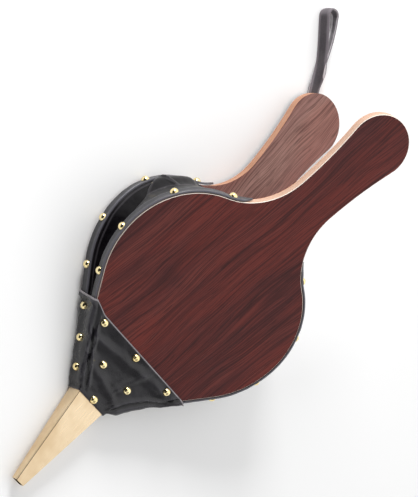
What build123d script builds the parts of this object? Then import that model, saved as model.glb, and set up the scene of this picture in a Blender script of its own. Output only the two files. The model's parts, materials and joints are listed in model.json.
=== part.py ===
from build123d import *
import os
from math import asin, atan2, cos, degrees, radians, sin, sqrt, tan

# Fireplace hand bellows, lying on its back. Millimetres.
# X runs along the length, nozzle towards -X, handles towards +X; +Z is up, from the rear board
# to the front board. Z = 0 is the surface that the bellows lies on.
# A "station" is a distance along a board from the hinge line, positive towards the handles.

# ---------------------------------------------------------------- driving dimensions
# Board outline
half_width = 91.0  # widest half width of a board
widest_station = 81.4  # where the body is widest
nose_arc = 77.0  # radius of the body's side towards the nozzle
shoulder_arc = 67.5  # radius of the body's side towards the handle
flank_angle = radians(38.1)  # slope of the straight flanks of the nose
neck_arc = 59.0  # concave radius between body and handle
neck_half_width = 20.3  # narrowest half width of the handle
lobe_radius = 26.0  # rounded end of the handle
board_reach = 286.0  # hinge line to the end of the handle

# Board build: a core with a veneer on each face
core = 6.8
veneer = 0.6
veneer_chamfer = 0.4

# Pump hinge
opening = radians(19.5)  # angle between the boards as modelled, fully open
hinge_gap = 3.7  # height of the hinge line above the rear board's inner face
hinge_clearance = 0.35  # between the front board's end and the nose block
hinge_relief = 0.4  # between the block and the hinge line

# Nose block and its half lap with the rear board
block_reach = 36.0  # hinge line to the block's front shoulder
block_heel = 24.0  # where the block's underside starts to drop to the nozzle
lap_reach = 15.0
tongue = 2.8  # core thickness left in the half lap
bore_radius = 3.5
bore_height = 7.2  # bore centre above the rear board's outer face
groove_width = 12.0
groove_reach = 30.0

# Nozzle: folded brass, open at both ends
nozzle_reach = 124.5  # hinge line to the nozzle tip
nozzle_base_width = 32.0
nozzle_base_height = 15.5
nozzle_base_drop = 2.6  # base underside below the rear board's outer face
nozzle_tip_width = 9.6
nozzle_tip_height = 6.4
nozzle_wall = 0.6
nozzle_corner = 0.9
tenon_length = 18.0
tenon_clearance = 0.05
pin_radius = 0.7
pin_length = 6.0
pin_setback = 3.5

# Leather nose cover
cover_thickness = 1.3
cover_overlap = 13.0  # cover over the boards, from the hinge line
cover_lip = 7.0  # cover over the nozzle, in front of the block

# Leather binding strips on the boards' edges
band_thickness = 2.4
band_end = 150.0  # station where a strip's end starts to narrow
band_point = 6.0  # length of its pointed end

# Leather gusset between the boards
gusset_thickness = 1.2
gusset_inset = 1.2
gusset_start = 1.0
gusset_end = 148.0
gusset_mouth = 3.0  # how far the inside is cut open past the wall's start, at the nose block
gusset_fold = 8.0  # how far the pleat folds inwards
gusset_gap = 0.3  # clearance to the front board

# Dome tacks
tack_dome_radius = 3.4
tack_dome_height = 2.7
tack_shank_radius = 0.6
tack_hole_radius = 0.62
hole_end_play = 0.2  # holes are this much deeper than their tack or screw
band_shank = 9.0
cover_shank = 4.6
nozzle_shank = 1.7
band_tack_stations = (33.5, 67.5, 113.0, 145.0)
side_tack_stations = (8.5, -11.0, -29.0)
side_tack_height = 5.3
hinge_row_station = 8.5
hinge_row_spread = 41.5
block_row_station = -16.5
block_row_spread = 15.8
nozzle_row_station = -39.8

# Intake valve in the rear board
intake_radius = 9.0
intake_station = 76.0
flap_length = 40.0
flap_width = 36.0
flap_corner = 12.0
flap_thickness = 1.2
flap_lift = 0.1
flap_crease = 0.4
tab_length = 11.0
tab_tack_radius = 2.2
tab_tack_height = 1.2
tab_tack_spacing = 12.0
tab_tack_shank = 4.0

# Lap screws, from the rear board's tongue into the nose block
lap_screw_radius = 1.6
lap_screw_length = 12.0
lap_screw_head = 3.2
lap_screw_spread = 18.0
lap_screw_station = -8.0
lap_screw_clearance = 0.05

# Hanging strap, a doubled leather lace held by one screw behind the rear handle
strap_width = 10.0
strap_thickness = 1.5
strap_length = 88.0  # screw to the far end of the loop
strap_loop_radius = 7.5
strap_root_radius = 2.0  # half the distance between the legs where the loop starts
strap_angle = radians(34.0)  # direction of the strap from the handle's axis
strap_setback = 18.0  # handle's end to the strap's screw
strap_offset = 6.0
strap_tab_reach = 22.0  # flat doubled stretch, from the screw
strap_floor = 0.2  # the loop's lower edge above the ground
strap_play = 0.05
screw_radius = 1.5
screw_hole_radius = 1.56
screw_length = 6.0
screw_head_radius = 3.8
screw_slot_width = 0.9
screw_slot_depth = 0.4

# ---------------------------------------------------------------- derived places
board = core + 2 * veneer
rear_z = cover_thickness + tack_dome_height  # rear board's outer face; the cover's tacks touch the ground
inner_z = rear_z + board
hinge_height = board + hinge_gap  # hinge line above the rear board's outer face
strap_station = board_reach - strap_setback
strap_reach = strap_station + (strap_length - strap_loop_radius) * cos(strap_angle) + strap_loop_radius
hinge_x = (nozzle_reach - strap_reach) / 2  # centres the whole object on X = 0
screw_head_height = rear_z - 2 * strap_thickness - 2 * strap_play

along_front = Vector(cos(opening), 0, sin(opening))
front_normal = Vector(-sin(opening), 0, cos(opening))
hinge_point = Vector(hinge_x, 0, rear_z + hinge_height)
down = (0, 0, -1)


def rear_plane(height):
    """Parallel to the rear board, height above its outer face; local x is the station."""
    return Plane((hinge_x, 0, rear_z + height))


def front_plane(height):
    """Parallel to the front board, height above its inner face; local x is the station."""
    return Plane(hinge_point + front_normal * height, x_dir=along_front, z_dir=front_normal)


def pleat_plane():
    """Half way between the boards' inner faces."""
    half = opening / 2
    origin = hinge_point - Vector(0, 0, hinge_gap / 2)
    return Plane(origin, x_dir=(cos(half), 0, sin(half)), z_dir=(-sin(half), 0, cos(half)))


def rear_side_plane():
    """Upright and lengthwise: local x is the station, local y the height over the rear face."""
    return Plane((hinge_x, 0, rear_z), x_dir=(1, 0, 0), z_dir=(0, -1, 0))


def front_side_plane():
    """As rear_side_plane, turned with the front board, with heights from its inner face."""
    return Plane(hinge_point, x_dir=along_front, z_dir=(0, -1, 0))


# ---------------------------------------------------------------- board outline
flank_out = Vector(-sin(flank_angle), cos(flank_angle))
nose_center = Vector(widest_station, half_width - nose_arc)
shoulder_center = Vector(widest_station, half_width - shoulder_arc)
flank_end = nose_center + flank_out * nose_arc
neck_rise = neck_half_width + neck_arc - shoulder_center.Y
neck_run = sqrt((shoulder_arc + neck_arc) ** 2 - neck_rise**2)
neck_center = shoulder_center + Vector(neck_run, neck_rise)
shoulder_turn = atan2(neck_rise, neck_run)
lobe_center = Vector(board_reach - lobe_radius, 0)
handle_run = lobe_center.X - neck_center.X
handle_rise = lobe_radius - neck_half_width
handle_arc = (handle_run**2 + neck_half_width**2 - lobe_radius**2) / (2 * handle_rise)
handle_center = Vector(neck_center.X, neck_half_width + handle_arc)
lobe_turn = degrees(atan2(handle_center.Y, -handle_run))
neck_start = shoulder_center.X + shoulder_arc * cos(shoulder_turn)


def flank_half_width(station, inset=0.0):
    """Half width of the straight flanks, moved inwards by inset."""
    return flank_end.Y - (flank_end.X - station) * tan(flank_angle) - inset / cos(flank_angle)


def edge_seat(station):
    """Point of the half outline at a station, and the outward direction there."""
    if station < flank_end.X:
        return Vector(station, flank_half_width(station)), flank_out
    if station < neck_start:
        if station < widest_station:
            center, radius = nose_center, nose_arc
        else:
            center, radius = shoulder_center, shoulder_arc
        run = station - center.X
        outward = Vector(run, sqrt(radius**2 - run**2)) * (1 / radius)
        return center + outward * radius, outward
    run = neck_center.X - station
    outward = Vector(run, sqrt(neck_arc**2 - run**2)) * (1 / neck_arc)
    return neck_center - outward * neck_arc, outward


def board_outline(start, inset=0.0):
    """Sketch of a board from a start station to the handle's end, moved inwards by inset."""
    flank_tip = flank_end - flank_out * inset
    shoulder_sweep = 90 - degrees(shoulder_turn)
    with BuildSketch() as outline:
        with BuildLine():
            Polyline((start, 0), (start, flank_half_width(start, inset)), (flank_tip.X, flank_tip.Y))
            CenterArc(nose_center, nose_arc - inset, 90 + degrees(flank_angle), -degrees(flank_angle))
            CenterArc(shoulder_center, shoulder_arc - inset, 90, -shoulder_sweep)
            CenterArc(neck_center, neck_arc + inset, 270 - shoulder_sweep, shoulder_sweep)
            CenterArc(handle_center, handle_arc + inset, 270, lobe_turn - 90)
            CenterArc(lobe_center, lobe_radius - inset, lobe_turn, -lobe_turn)
            mirror(about=Plane.XZ)
        make_face()
    return outline.sketch


def body_outline(start, stop, inset=0.0):
    """Sketch of a board between two stations, moved inwards by inset."""
    with BuildSketch() as outline:
        add(board_outline(start, inset))
        with Locations(((start + stop) / 2, 0)):
            Rectangle(stop - start, 4 * half_width, mode=Mode.INTERSECT)
    return outline.sketch


# ---------------------------------------------------------------- nozzle sections
def nozzle_share(station):
    """0 at the nozzle's base, 1 at its tip."""
    return (-block_reach - station) / (nozzle_reach - block_reach)


def nozzle_width(station):
    return nozzle_base_width + (nozzle_tip_width - nozzle_base_width) * nozzle_share(station)


def nozzle_height(station):
    return nozzle_base_height + (nozzle_tip_height - nozzle_base_height) * nozzle_share(station)


def nozzle_bottom(station):
    """Height over the rear board's outer face; the tip's underside is level with that face."""
    return -nozzle_base_drop * (1 - nozzle_share(station))


def nozzle_plane(station):
    """Plane across the nozzle, with its origin on the nozzle's own centre line."""
    height = rear_z + nozzle_bottom(station) + nozzle_height(station) / 2
    return Plane((hinge_x + station, 0, height), x_dir=(0, 1, 0), z_dir=(1, 0, 0))


def nozzle_section(station, inset):
    """Sketch of the nozzle's section, smaller than its outside by inset all round."""
    with BuildSketch() as section:
        RectangleRounded(
            nozzle_width(station) - 2 * inset,
            nozzle_height(station) - 2 * inset,
            nozzle_corner - inset / 2,
        )
    return section.sketch


# ---------------------------------------------------------------- nose profile and plan
block_top = nozzle_base_height - nozzle_base_drop
front_corner = Vector(0, hinge_height) + Vector(-sin(opening), cos(opening)) * board
block_corner = front_corner - Vector(cos(opening), sin(opening)) * hinge_clearance


def nose_rear_edge(growth):
    """Rear edge of the block's profile, up to its top corner, parallel to the front board's end."""
    relief = hinge_relief + hinge_clearance
    foot = Vector(0, hinge_height) - Vector(cos(opening), sin(opening)) * hinge_clearance
    foot = foot + Vector(sin(opening), -cos(opening)) * hinge_relief
    corner = block_corner + Vector(-sin(opening), cos(opening)) * growth
    return [(0, hinge_height - relief), (foot.X, hinge_height - relief), (corner.X, corner.Y)]


def cover_profile(growth, overrun):
    """Side outline of the cover: the block and the nozzle's base grown by growth."""
    lip = -block_reach - cover_lip - overrun
    rim = cover_overlap + overrun
    return [
        (lip, nozzle_bottom(lip) - growth),
        (-block_reach, -nozzle_base_drop - growth),
        (-block_heel, -growth),
        (rim, -growth),
        (rim, board + overrun),
        (0, board + overrun),
        *nose_rear_edge(growth),
        (-block_reach, block_top + growth),
        (lip, nozzle_bottom(lip) + nozzle_height(lip) + growth),
    ]


def cover_plan(growth, overrun):
    """Plan outline of the cover, grown outwards by growth."""
    lip = -block_reach - cover_lip - overrun
    rim = cover_overlap + overrun
    side = [
        (lip, nozzle_width(lip) / 2 + growth),
        (-block_reach, flank_half_width(-block_reach, -growth)),
        (rim, flank_half_width(rim, -growth)),
    ]
    return side + [(x, -y) for x, y in reversed(side)]


def flap_plan(growth, overrun):
    """Plan outline of the cover's moving half, in the front board's plane."""
    rim = cover_overlap + overrun
    side = [(-overrun, flank_half_width(-overrun, -growth)), (rim, flank_half_width(rim, -growth))]
    return side + [(x, -y) for x, y in reversed(side)]


# ---------------------------------------------------------------- tacks and their seats
def dome_tack(radius, height, shank):
    """A tack with its seat at the origin and its dome up."""
    ball = (radius**2 + height**2) / (2 * height)
    half_turn = asin(min(1.0, radius / ball)) / 2
    with BuildPart() as tack:
        with BuildSketch(Plane.XZ):
            with BuildLine():
                shoulder = (ball * sin(half_turn), height - ball + ball * cos(half_turn))
                ThreePointArc((radius, 0), shoulder, (0, height))
                Polyline(
                    (0, height),
                    (0, -shank),
                    (tack_shank_radius, -shank + 3 * tack_shank_radius),
                    (tack_shank_radius, 0),
                    (radius, 0),
                )
            make_face()
        revolve(axis=Axis.Z)
    return tack.part


# A dome's flat seat on the hollow curve of the neck stands off by the curve's depth under it
band_seat_lift = tack_dome_radius**2 / (2 * (neck_arc - band_thickness))


def point_on(plane, x, y, z=0.0):
    return plane.from_local_coords(Vector(x, y, z))


def band_seats(plane):
    """Tack seats on both sides of a board's edge, on the outside of the binding strip."""
    seats = []
    for station in band_tack_stations:
        for side in (1, -1):
            foot, outward = edge_seat(station)
            seat = foot + outward * (band_thickness + band_seat_lift)
            tip = seat + outward
            origin = point_on(plane, seat.X, side * seat.Y)
            seats.append(Plane(origin, z_dir=point_on(plane, tip.X, side * tip.Y) - origin))
    return seats


def side_seats():
    """Tack seats on the cover's two sides."""
    plane = rear_plane(side_tack_height)
    seats = []
    for station in side_tack_stations:
        for side in (1, -1):
            seat = Vector(station, flank_half_width(station)) + flank_out * cover_thickness
            tip = seat + flank_out
            origin = point_on(plane, seat.X, side * seat.Y)
            seats.append(Plane(origin, z_dir=point_on(plane, tip.X, side * tip.Y) - origin))
    return seats


def hinge_row_seats():
    """Tack seats on the cover over the front board."""
    plane = front_plane(board + cover_thickness)
    spread = (-hinge_row_spread, 0, hinge_row_spread)
    return [Plane(point_on(plane, hinge_row_station, y), z_dir=front_normal) for y in spread]


def slope_seat(station, y, height, slope):
    """Seat on the cover's top, height above the rear board's outer face, tilted with the slope there."""
    return Plane((hinge_x + station, y, rear_z + height), z_dir=(-sin(slope), 0, cos(slope)))


def block_row_seats():
    """Tack seats on the cover over the nose block."""
    low = block_top + cover_thickness
    corner = nose_rear_edge(cover_thickness)[-1]
    slope = atan2(corner[1] - low, corner[0] + block_reach)
    height = low + (block_row_station + block_reach) * tan(slope)
    return [slope_seat(block_row_station, side * block_row_spread, height, slope) for side in (1, -1)]


def nozzle_row_seat():
    """Tack seat on the cover over the nozzle's base."""
    slope = atan2(block_top - nozzle_tip_height, nozzle_reach - block_reach)
    height = nozzle_bottom(nozzle_row_station) + nozzle_height(nozzle_row_station) + cover_thickness
    return slope_seat(nozzle_row_station, 0, height, slope)


def under_seat(station, y, depth=0.0):
    """Seat facing down, depth below the rear board's outer face."""
    return Plane((hinge_x + station, y, rear_z - depth), z_dir=down)


def rear_cover_seats():
    """Tack seats on the cover's underside."""
    hinge_row = [(hinge_row_station, side * hinge_row_spread) for side in (-1, 0, 1)]
    block_row = [(block_row_station, side * block_row_spread) for side in (-1, 1)]
    return [under_seat(station, y, cover_thickness) for station, y in hinge_row + block_row]


def lap_screw_seats():
    return [under_seat(lap_screw_station, side * lap_screw_spread) for side in (-1, 1)]


def tack_holes(seats, depth):
    """Holes for tack shanks of a given length, in the part that is open."""
    with Locations(*seats):
        Hole(tack_hole_radius, depth + hole_end_play)


def lap_screw_holes():
    with Locations(*lap_screw_seats()):
        CounterSinkHole(
            lap_screw_radius + lap_screw_clearance,
            lap_screw_head + lap_screw_clearance,
            depth=lap_screw_length + hole_end_play,
            counter_sink_angle=90,
        )


def pin_seats():
    """Places of the nozzle's two pins, on its sides, inside the leather."""
    station = -block_reach - pin_setback
    z = rear_z + nozzle_bottom(station) + nozzle_height(station) / 2
    half = nozzle_width(station) / 2
    return [Plane((hinge_x + station, side * half, z), z_dir=(0, side, 0)) for side in (1, -1)]


front_band_seats = band_seats(front_plane(board / 2))
rear_band_seats = band_seats(rear_plane(board / 2))
strap_screw_seat = under_seat(strap_station, strap_offset)
flap_station = intake_station - flap_length / 2
tab_center = flap_station - flap_crease - tab_length / 2
tab_tack_seats = [
    Plane((hinge_x + tab_center, y * tab_tack_spacing, inner_z + flap_thickness)) for y in (-1, 0, 1)
]

# ---------------------------------------------------------------- front board
with BuildPart() as front_board_core:
    with BuildSketch(front_plane(veneer)):
        add(board_outline(0))
    extrude(amount=core)
    tack_holes(front_band_seats, band_shank)
    tack_holes(hinge_row_seats(), cover_shank)
front_board_core.part.label = "front_board_core"

with BuildPart() as front_inner_veneer:
    with BuildSketch(front_plane(0)):
        add(board_outline(0))
    extrude(amount=veneer)
front_inner_veneer.part.label = "front_inner_veneer"

with BuildPart() as front_outer_veneer:
    with BuildSketch(front_plane(veneer + core)):
        add(board_outline(0))
    extrude(amount=veneer)
    chamfer(faces().sort_by(Axis((0, 0, 0), front_normal))[-1].edges(), veneer_chamfer)
    tack_holes(hinge_row_seats(), cover_shank)
front_outer_veneer.part.label = "front_outer_veneer"

# ---------------------------------------------------------------- rear board
with BuildPart() as rear_board_core:
    with BuildSketch(rear_plane(veneer)):
        add(board_outline(-lap_reach))
    extrude(amount=core)
    with BuildSketch(rear_side_plane()):
        with Locations((0, veneer + tongue)):
            Rectangle(2 * lap_reach, core, align=(Align.MAX, Align.MIN))
    extrude(amount=half_width, both=True, mode=Mode.SUBTRACT)
    with BuildSketch(rear_plane(bore_height - bore_radius)):
        SlotOverall(2 * groove_reach, groove_width)
    extrude(amount=board, mode=Mode.SUBTRACT)
    with Locations(rear_plane(board)):
        with Locations((intake_station, 0)):
            Hole(intake_radius)
    tack_holes(rear_band_seats, band_shank)
    tack_holes(side_seats(), cover_shank)
    tack_holes(rear_cover_seats(), cover_shank)
    tack_holes(tab_tack_seats, tab_tack_shank)
    lap_screw_holes()
    with Locations(strap_screw_seat):
        Hole(screw_hole_radius, screw_length + hole_end_play)
rear_board_core.part.label = "rear_board_core"

with BuildPart() as rear_outer_veneer:
    with BuildSketch(rear_plane(0)):
        add(board_outline(-lap_reach))
    extrude(amount=veneer)
    chamfer(faces().sort_by(Axis.Z)[0].edges().group_by(Axis.X)[1:], veneer_chamfer)
    with Locations(rear_plane(0)):
        with Locations((intake_station, 0)):
            Hole(intake_radius)
    tack_holes(rear_cover_seats(), cover_shank)
    lap_screw_holes()
    with Locations(strap_screw_seat):
        Hole(screw_hole_radius, screw_length + hole_end_play)
rear_outer_veneer.part.label = "rear_outer_veneer"

with BuildPart() as rear_inner_veneer:
    with BuildSketch(rear_plane(veneer + core)):
        add(board_outline(0))
        SlotOverall(2 * groove_reach, groove_width, mode=Mode.SUBTRACT)
        with Locations((intake_station, 0)):
            Circle(intake_radius, mode=Mode.SUBTRACT)
    extrude(amount=veneer)
    tack_holes(tab_tack_seats, tab_tack_shank)
rear_inner_veneer.part.label = "rear_inner_veneer"

# ---------------------------------------------------------------- nose block and nozzle
with BuildPart() as nose_block:
    with BuildSketch(rear_side_plane()):
        Polygon(
            (-block_reach, -nozzle_base_drop),
            (-block_heel, 0),
            (-lap_reach, 0),
            (-lap_reach, veneer + tongue),
            (0, veneer + tongue),
            *nose_rear_edge(0),
            (-block_reach, block_top),
            align=None,
        )
    extrude(amount=half_width, both=True)
    with BuildSketch(rear_plane(-board)):
        Polygon(
            (-block_reach, -flank_half_width(-block_reach)),
            (0, -flank_half_width(0)),
            (0, flank_half_width(0)),
            (-block_reach, flank_half_width(-block_reach)),
            align=None,
        )
    extrude(amount=5 * board, mode=Mode.INTERSECT)
    with BuildSketch(nozzle_plane(-block_reach)):
        add(nozzle_section(-block_reach, nozzle_wall + tenon_clearance))
    with BuildSketch(nozzle_plane(-block_reach - tenon_length)):
        add(nozzle_section(-block_reach - tenon_length, nozzle_wall + tenon_clearance))
    loft()
    with BuildSketch(Plane.YZ.offset(hinge_x - block_reach - tenon_length)):
        with Locations((0, rear_z + bore_height)):
            Circle(bore_radius)
    extrude(amount=block_reach + tenon_length, mode=Mode.SUBTRACT)
    tack_holes(block_row_seats(), cover_shank)
    tack_holes([nozzle_row_seat()], nozzle_shank + nozzle_wall)
    tack_holes(side_seats(), cover_shank)
    tack_holes(rear_cover_seats(), cover_shank)
    lap_screw_holes()
    with Locations(*pin_seats()):
        Hole(pin_radius, pin_length)
nose_block.part.label = "nose_block"

with BuildPart() as nozzle:
    with BuildSketch(nozzle_plane(-block_reach)):
        add(nozzle_section(-block_reach, 0))
    with BuildSketch(nozzle_plane(-nozzle_reach)):
        add(nozzle_section(-nozzle_reach, 0))
    loft()
    with BuildSketch(nozzle_plane(-block_reach)):
        add(nozzle_section(-block_reach, nozzle_wall))
    with BuildSketch(nozzle_plane(-nozzle_reach)):
        add(nozzle_section(-nozzle_reach, nozzle_wall))
    loft(mode=Mode.SUBTRACT)
    tack_holes([nozzle_row_seat()], nozzle_shank)
    with Locations(*pin_seats()):
        Hole(pin_radius, pin_length)
nozzle.part.label = "nozzle"

with BuildPart() as nozzle_pins:
    with Locations(*pin_seats()):
        Cylinder(pin_radius, pin_length, align=(Align.CENTER, Align.CENTER, Align.MAX))
nozzle_pins.part.label = "nozzle_pins"

# ---------------------------------------------------------------- leather nose cover
with BuildPart() as nose_cavity:
    with BuildSketch(rear_side_plane()):
        Polygon(*cover_profile(0, 1), align=None)
    extrude(amount=half_width, both=True)
    with BuildSketch(rear_plane(-board)):
        Polygon(*cover_plan(0, 1), align=None)
    extrude(amount=5 * board, mode=Mode.INTERSECT)

with BuildPart() as nose_cover:
    with BuildSketch(rear_side_plane()):
        Polygon(*cover_profile(cover_thickness, 0), align=None)
    extrude(amount=half_width, both=True)
    with BuildSketch(rear_plane(-board)):
        Polygon(*cover_plan(cover_thickness, 0), align=None)
    extrude(amount=5 * board, mode=Mode.INTERSECT)
    add(nose_cavity.part, mode=Mode.SUBTRACT)
    tack_holes(block_row_seats(), cover_shank)
    tack_holes([nozzle_row_seat()], nozzle_shank)
    tack_holes(side_seats(), cover_shank)
    tack_holes(rear_cover_seats(), cover_shank)
nose_cover.part.label = "nose_cover"

with BuildPart() as nose_cover_flap:
    with BuildSketch(front_plane(0)):
        Polygon(*flap_plan(cover_thickness, 0), align=None)
    extrude(amount=board + cover_thickness)
    with BuildSketch(front_plane(0)):
        Polygon(*flap_plan(0, 1), align=None)
    extrude(amount=board, mode=Mode.SUBTRACT)
    tack_holes(hinge_row_seats(), cover_shank)
nose_cover_flap.part.label = "nose_cover_flap"


# ---------------------------------------------------------------- binding strips
def binding_strip(plane, side_view, side, seats):
    """One leather strip along one side of a board's edge, with a pointed end at the neck."""
    with BuildPart() as strip:
        with BuildSketch(plane):
            add(board_outline(cover_overlap, -band_thickness))
            add(board_outline(cover_overlap - board, 0), mode=Mode.SUBTRACT)
            with Locations((cover_overlap, 0)):
                Rectangle(2 * board_reach, 2 * half_width, align=(Align.CENTER, side), mode=Mode.INTERSECT)
        extrude(amount=board)
        with BuildSketch(side_view):
            Polygon(
                (cover_overlap, 0),
                (band_end, 0),
                (band_end + band_point, board / 2),
                (band_end, board),
                (cover_overlap, board),
                align=None,
            )
        extrude(amount=2 * half_width, both=True, mode=Mode.INTERSECT)
        tack_holes(seats, band_shank)
    return strip.part


front_band_left = binding_strip(front_plane(0), front_side_plane(), Align.MIN, front_band_seats)
front_band_left.label = "front_band_left"
front_band_right = binding_strip(front_plane(0), front_side_plane(), Align.MAX, front_band_seats)
front_band_right.label = "front_band_right"
rear_band_left = binding_strip(rear_plane(0), rear_side_plane(), Align.MIN, rear_band_seats)
rear_band_left.label = "rear_band_left"
rear_band_right = binding_strip(rear_plane(0), rear_side_plane(), Align.MAX, rear_band_seats)
rear_band_right.label = "rear_band_right"

# ---------------------------------------------------------------- gusset, a pleated leather wall
def gusset_section(inset):
    """The wall's section in plan: down one side, across the neck and back, open at the nose block."""
    stop = gusset_end - inset
    with BuildSketch() as section:
        add(body_outline(gusset_start, stop, inset))
        inside = body_outline(gusset_start - gusset_mouth, stop - gusset_thickness, inset + gusset_thickness)
        add(inside, mode=Mode.SUBTRACT)
    return section.sketch


with BuildPart() as gusset:
    with BuildSketch(rear_plane(board)):
        add(gusset_section(gusset_inset))
    with BuildSketch(pleat_plane()):
        add(gusset_section(gusset_inset + gusset_fold))
    with BuildSketch(front_plane(-gusset_gap)):
        add(gusset_section(gusset_inset))
    loft(ruled=True)
gusset.part.label = "gusset"

# ---------------------------------------------------------------- tacks
tack = dome_tack(tack_dome_radius, tack_dome_height, cover_shank)
band_tack = dome_tack(tack_dome_radius, tack_dome_height, band_shank)
nozzle_tack = dome_tack(tack_dome_radius, tack_dome_height, nozzle_shank)
tab_tack = dome_tack(tab_tack_radius, tab_tack_height, tab_tack_shank)


def tack_group(label, *groups):
    """All the tacks of one node: pairs of a tack and its seats."""
    with BuildPart() as group:
        for one, seats in groups:
            with Locations(*seats):
                add(one)
    group.part.label = label
    return group.part


tack_nodes = [
    tack_group("front_band_tacks", (band_tack, front_band_seats)),
    tack_group("rear_band_tacks", (band_tack, rear_band_seats)),
    tack_group("cover_hinge_tacks", (tack, hinge_row_seats())),
    tack_group("cover_front_tacks", (tack, block_row_seats()), (nozzle_tack, [nozzle_row_seat()])),
    tack_group("cover_rear_tacks", (tack, rear_cover_seats())),
    tack_group("cover_side_tacks", (tack, side_seats())),
    tack_group("flap_tab_tacks", (tab_tack, tab_tack_seats)),
]

# ---------------------------------------------------------------- intake valve
with BuildPart() as valve_flap:
    with BuildSketch(rear_plane(board + flap_lift)):
        with Locations((flap_station, 0)):
            Rectangle(flap_length, flap_width, align=(Align.MIN, Align.CENTER))
        fillet(vertices().group_by(Axis.X)[-1], flap_corner)
    extrude(amount=flap_thickness)
valve_flap.part.label = "valve_flap"

with BuildPart() as flap_tab:
    with BuildSketch(rear_plane(board)):
        with Locations((tab_center, 0)):
            Rectangle(tab_length, flap_width)
    extrude(amount=flap_thickness)
    tack_holes(tab_tack_seats, tab_tack_shank)
flap_tab.part.label = "flap_tab"

# ---------------------------------------------------------------- lap screws
with BuildPart() as lap_screw:
    with BuildSketch(Plane.XZ):
        Polygon(
            (0, 0),
            (lap_screw_head, 0),
            (lap_screw_radius, lap_screw_radius - lap_screw_head),
            (lap_screw_radius, -lap_screw_length + 2 * lap_screw_radius),
            (0, -lap_screw_length),
            align=None,
        )
    revolve(axis=Axis.Z)
    with BuildSketch(Plane.XY):
        Rectangle(1.5 * lap_screw_head, screw_slot_width)
    extrude(amount=-screw_slot_depth, mode=Mode.SUBTRACT)

with BuildPart() as lap_screws:
    with Locations(*lap_screw_seats()):
        add(lap_screw.part)
lap_screws.part.label = "lap_screws"

# ---------------------------------------------------------------- hanging strap
strap_plane = Plane(
    (hinge_x + strap_station, strap_offset, 0), x_dir=(cos(strap_angle), sin(strap_angle), 0), z_dir=(0, 0, 1)
)


def strap_loop(inset):
    """Teardrop outline of the loop, moved inwards by inset."""
    with BuildSketch() as outline:
        with Locations((strap_length - strap_loop_radius, 0)):
            Circle(strap_loop_radius - inset)
        with Locations((strap_tab_reach, 0)):
            Circle(strap_root_radius - inset)
        make_hull()
    return outline.sketch


with BuildPart() as hanging_strap:
    with BuildSketch(strap_plane.offset(screw_head_height + strap_play)):
        Circle(strap_width / 2)
        with Locations((strap_tab_reach / 2, 0)):
            Rectangle(strap_tab_reach, strap_width)
    extrude(amount=2 * strap_thickness)
    with Locations(strap_screw_seat):
        Hole(screw_hole_radius)
    with BuildSketch(strap_plane.offset(strap_floor)):
        add(strap_loop(0))
    extrude(amount=strap_width)
    with BuildSketch(strap_plane):
        add(strap_loop(strap_thickness))
    extrude(amount=2 * strap_width, mode=Mode.SUBTRACT)
hanging_strap.part.label = "hanging_strap"

with BuildPart() as handle_screw:
    with BuildSketch(Plane.XY):
        Circle(screw_head_radius)
    extrude(amount=screw_head_height)
    fillet(edges().sort_by(Axis.Z)[-1], screw_head_height / 2)
    with BuildSketch(Plane.XY.offset(screw_head_height)):
        Rectangle(2 * screw_head_radius, screw_slot_width)
    extrude(amount=-screw_slot_depth, mode=Mode.SUBTRACT)
    Cylinder(
        screw_radius,
        screw_length + 2 * (strap_thickness + strap_play),
        align=(Align.CENTER, Align.CENTER, Align.MAX),
    )

with BuildPart() as strap_screw:
    with Locations(under_seat(strap_station, strap_offset, rear_z - screw_head_height)):
        add(handle_screw.part)
strap_screw.part.label = "strap_screw"

# ---------------------------------------------------------------- files
pieces = [
    front_board_core.part,
    front_inner_veneer.part,
    front_outer_veneer.part,
    rear_board_core.part,
    rear_inner_veneer.part,
    rear_outer_veneer.part,
    nose_block.part,
    nozzle.part,
    nozzle_pins.part,
    nose_cover.part,
    nose_cover_flap.part,
    front_band_left,
    front_band_right,
    rear_band_left,
    rear_band_right,
    gusset.part,
    *tack_nodes,
    valve_flap.part,
    flap_tab.part,
    lap_screws.part,
    hanging_strap.part,
    strap_screw.part,
]
os.makedirs("parts", exist_ok=True)
for piece in pieces:
    export_step(piece, f"parts/{piece.label}.step")
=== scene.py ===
import json
from math import atan2, cos, exp, hypot, pi, radians, sin, sqrt, tan

import bmesh
import bpy
from mathutils import Matrix, Vector, noise


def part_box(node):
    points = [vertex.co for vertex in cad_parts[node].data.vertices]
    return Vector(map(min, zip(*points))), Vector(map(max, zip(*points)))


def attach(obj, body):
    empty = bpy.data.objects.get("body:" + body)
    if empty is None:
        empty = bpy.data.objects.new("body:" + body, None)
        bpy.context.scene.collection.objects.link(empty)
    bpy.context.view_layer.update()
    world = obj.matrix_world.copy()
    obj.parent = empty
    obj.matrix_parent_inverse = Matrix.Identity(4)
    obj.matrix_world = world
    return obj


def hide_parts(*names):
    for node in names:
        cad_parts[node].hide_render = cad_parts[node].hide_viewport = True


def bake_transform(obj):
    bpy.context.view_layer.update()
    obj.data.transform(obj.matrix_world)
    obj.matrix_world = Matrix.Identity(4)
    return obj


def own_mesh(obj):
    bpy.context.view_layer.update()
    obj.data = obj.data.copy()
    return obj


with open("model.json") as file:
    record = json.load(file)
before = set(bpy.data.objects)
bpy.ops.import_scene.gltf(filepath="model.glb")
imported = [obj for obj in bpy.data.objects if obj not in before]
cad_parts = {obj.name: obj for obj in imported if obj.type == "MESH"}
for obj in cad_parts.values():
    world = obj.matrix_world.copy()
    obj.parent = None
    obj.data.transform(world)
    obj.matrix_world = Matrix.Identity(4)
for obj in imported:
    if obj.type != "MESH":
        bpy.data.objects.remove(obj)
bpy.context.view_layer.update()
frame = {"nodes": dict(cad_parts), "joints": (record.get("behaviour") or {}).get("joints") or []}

# ---------------------------------------------------------------- sizes, in metres
# A "station" u is a distance along a board from the hinge line, positive towards the handles.
MM = 0.001
JOINTS = {joint["name"]: joint for joint in frame["joints"]}
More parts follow.
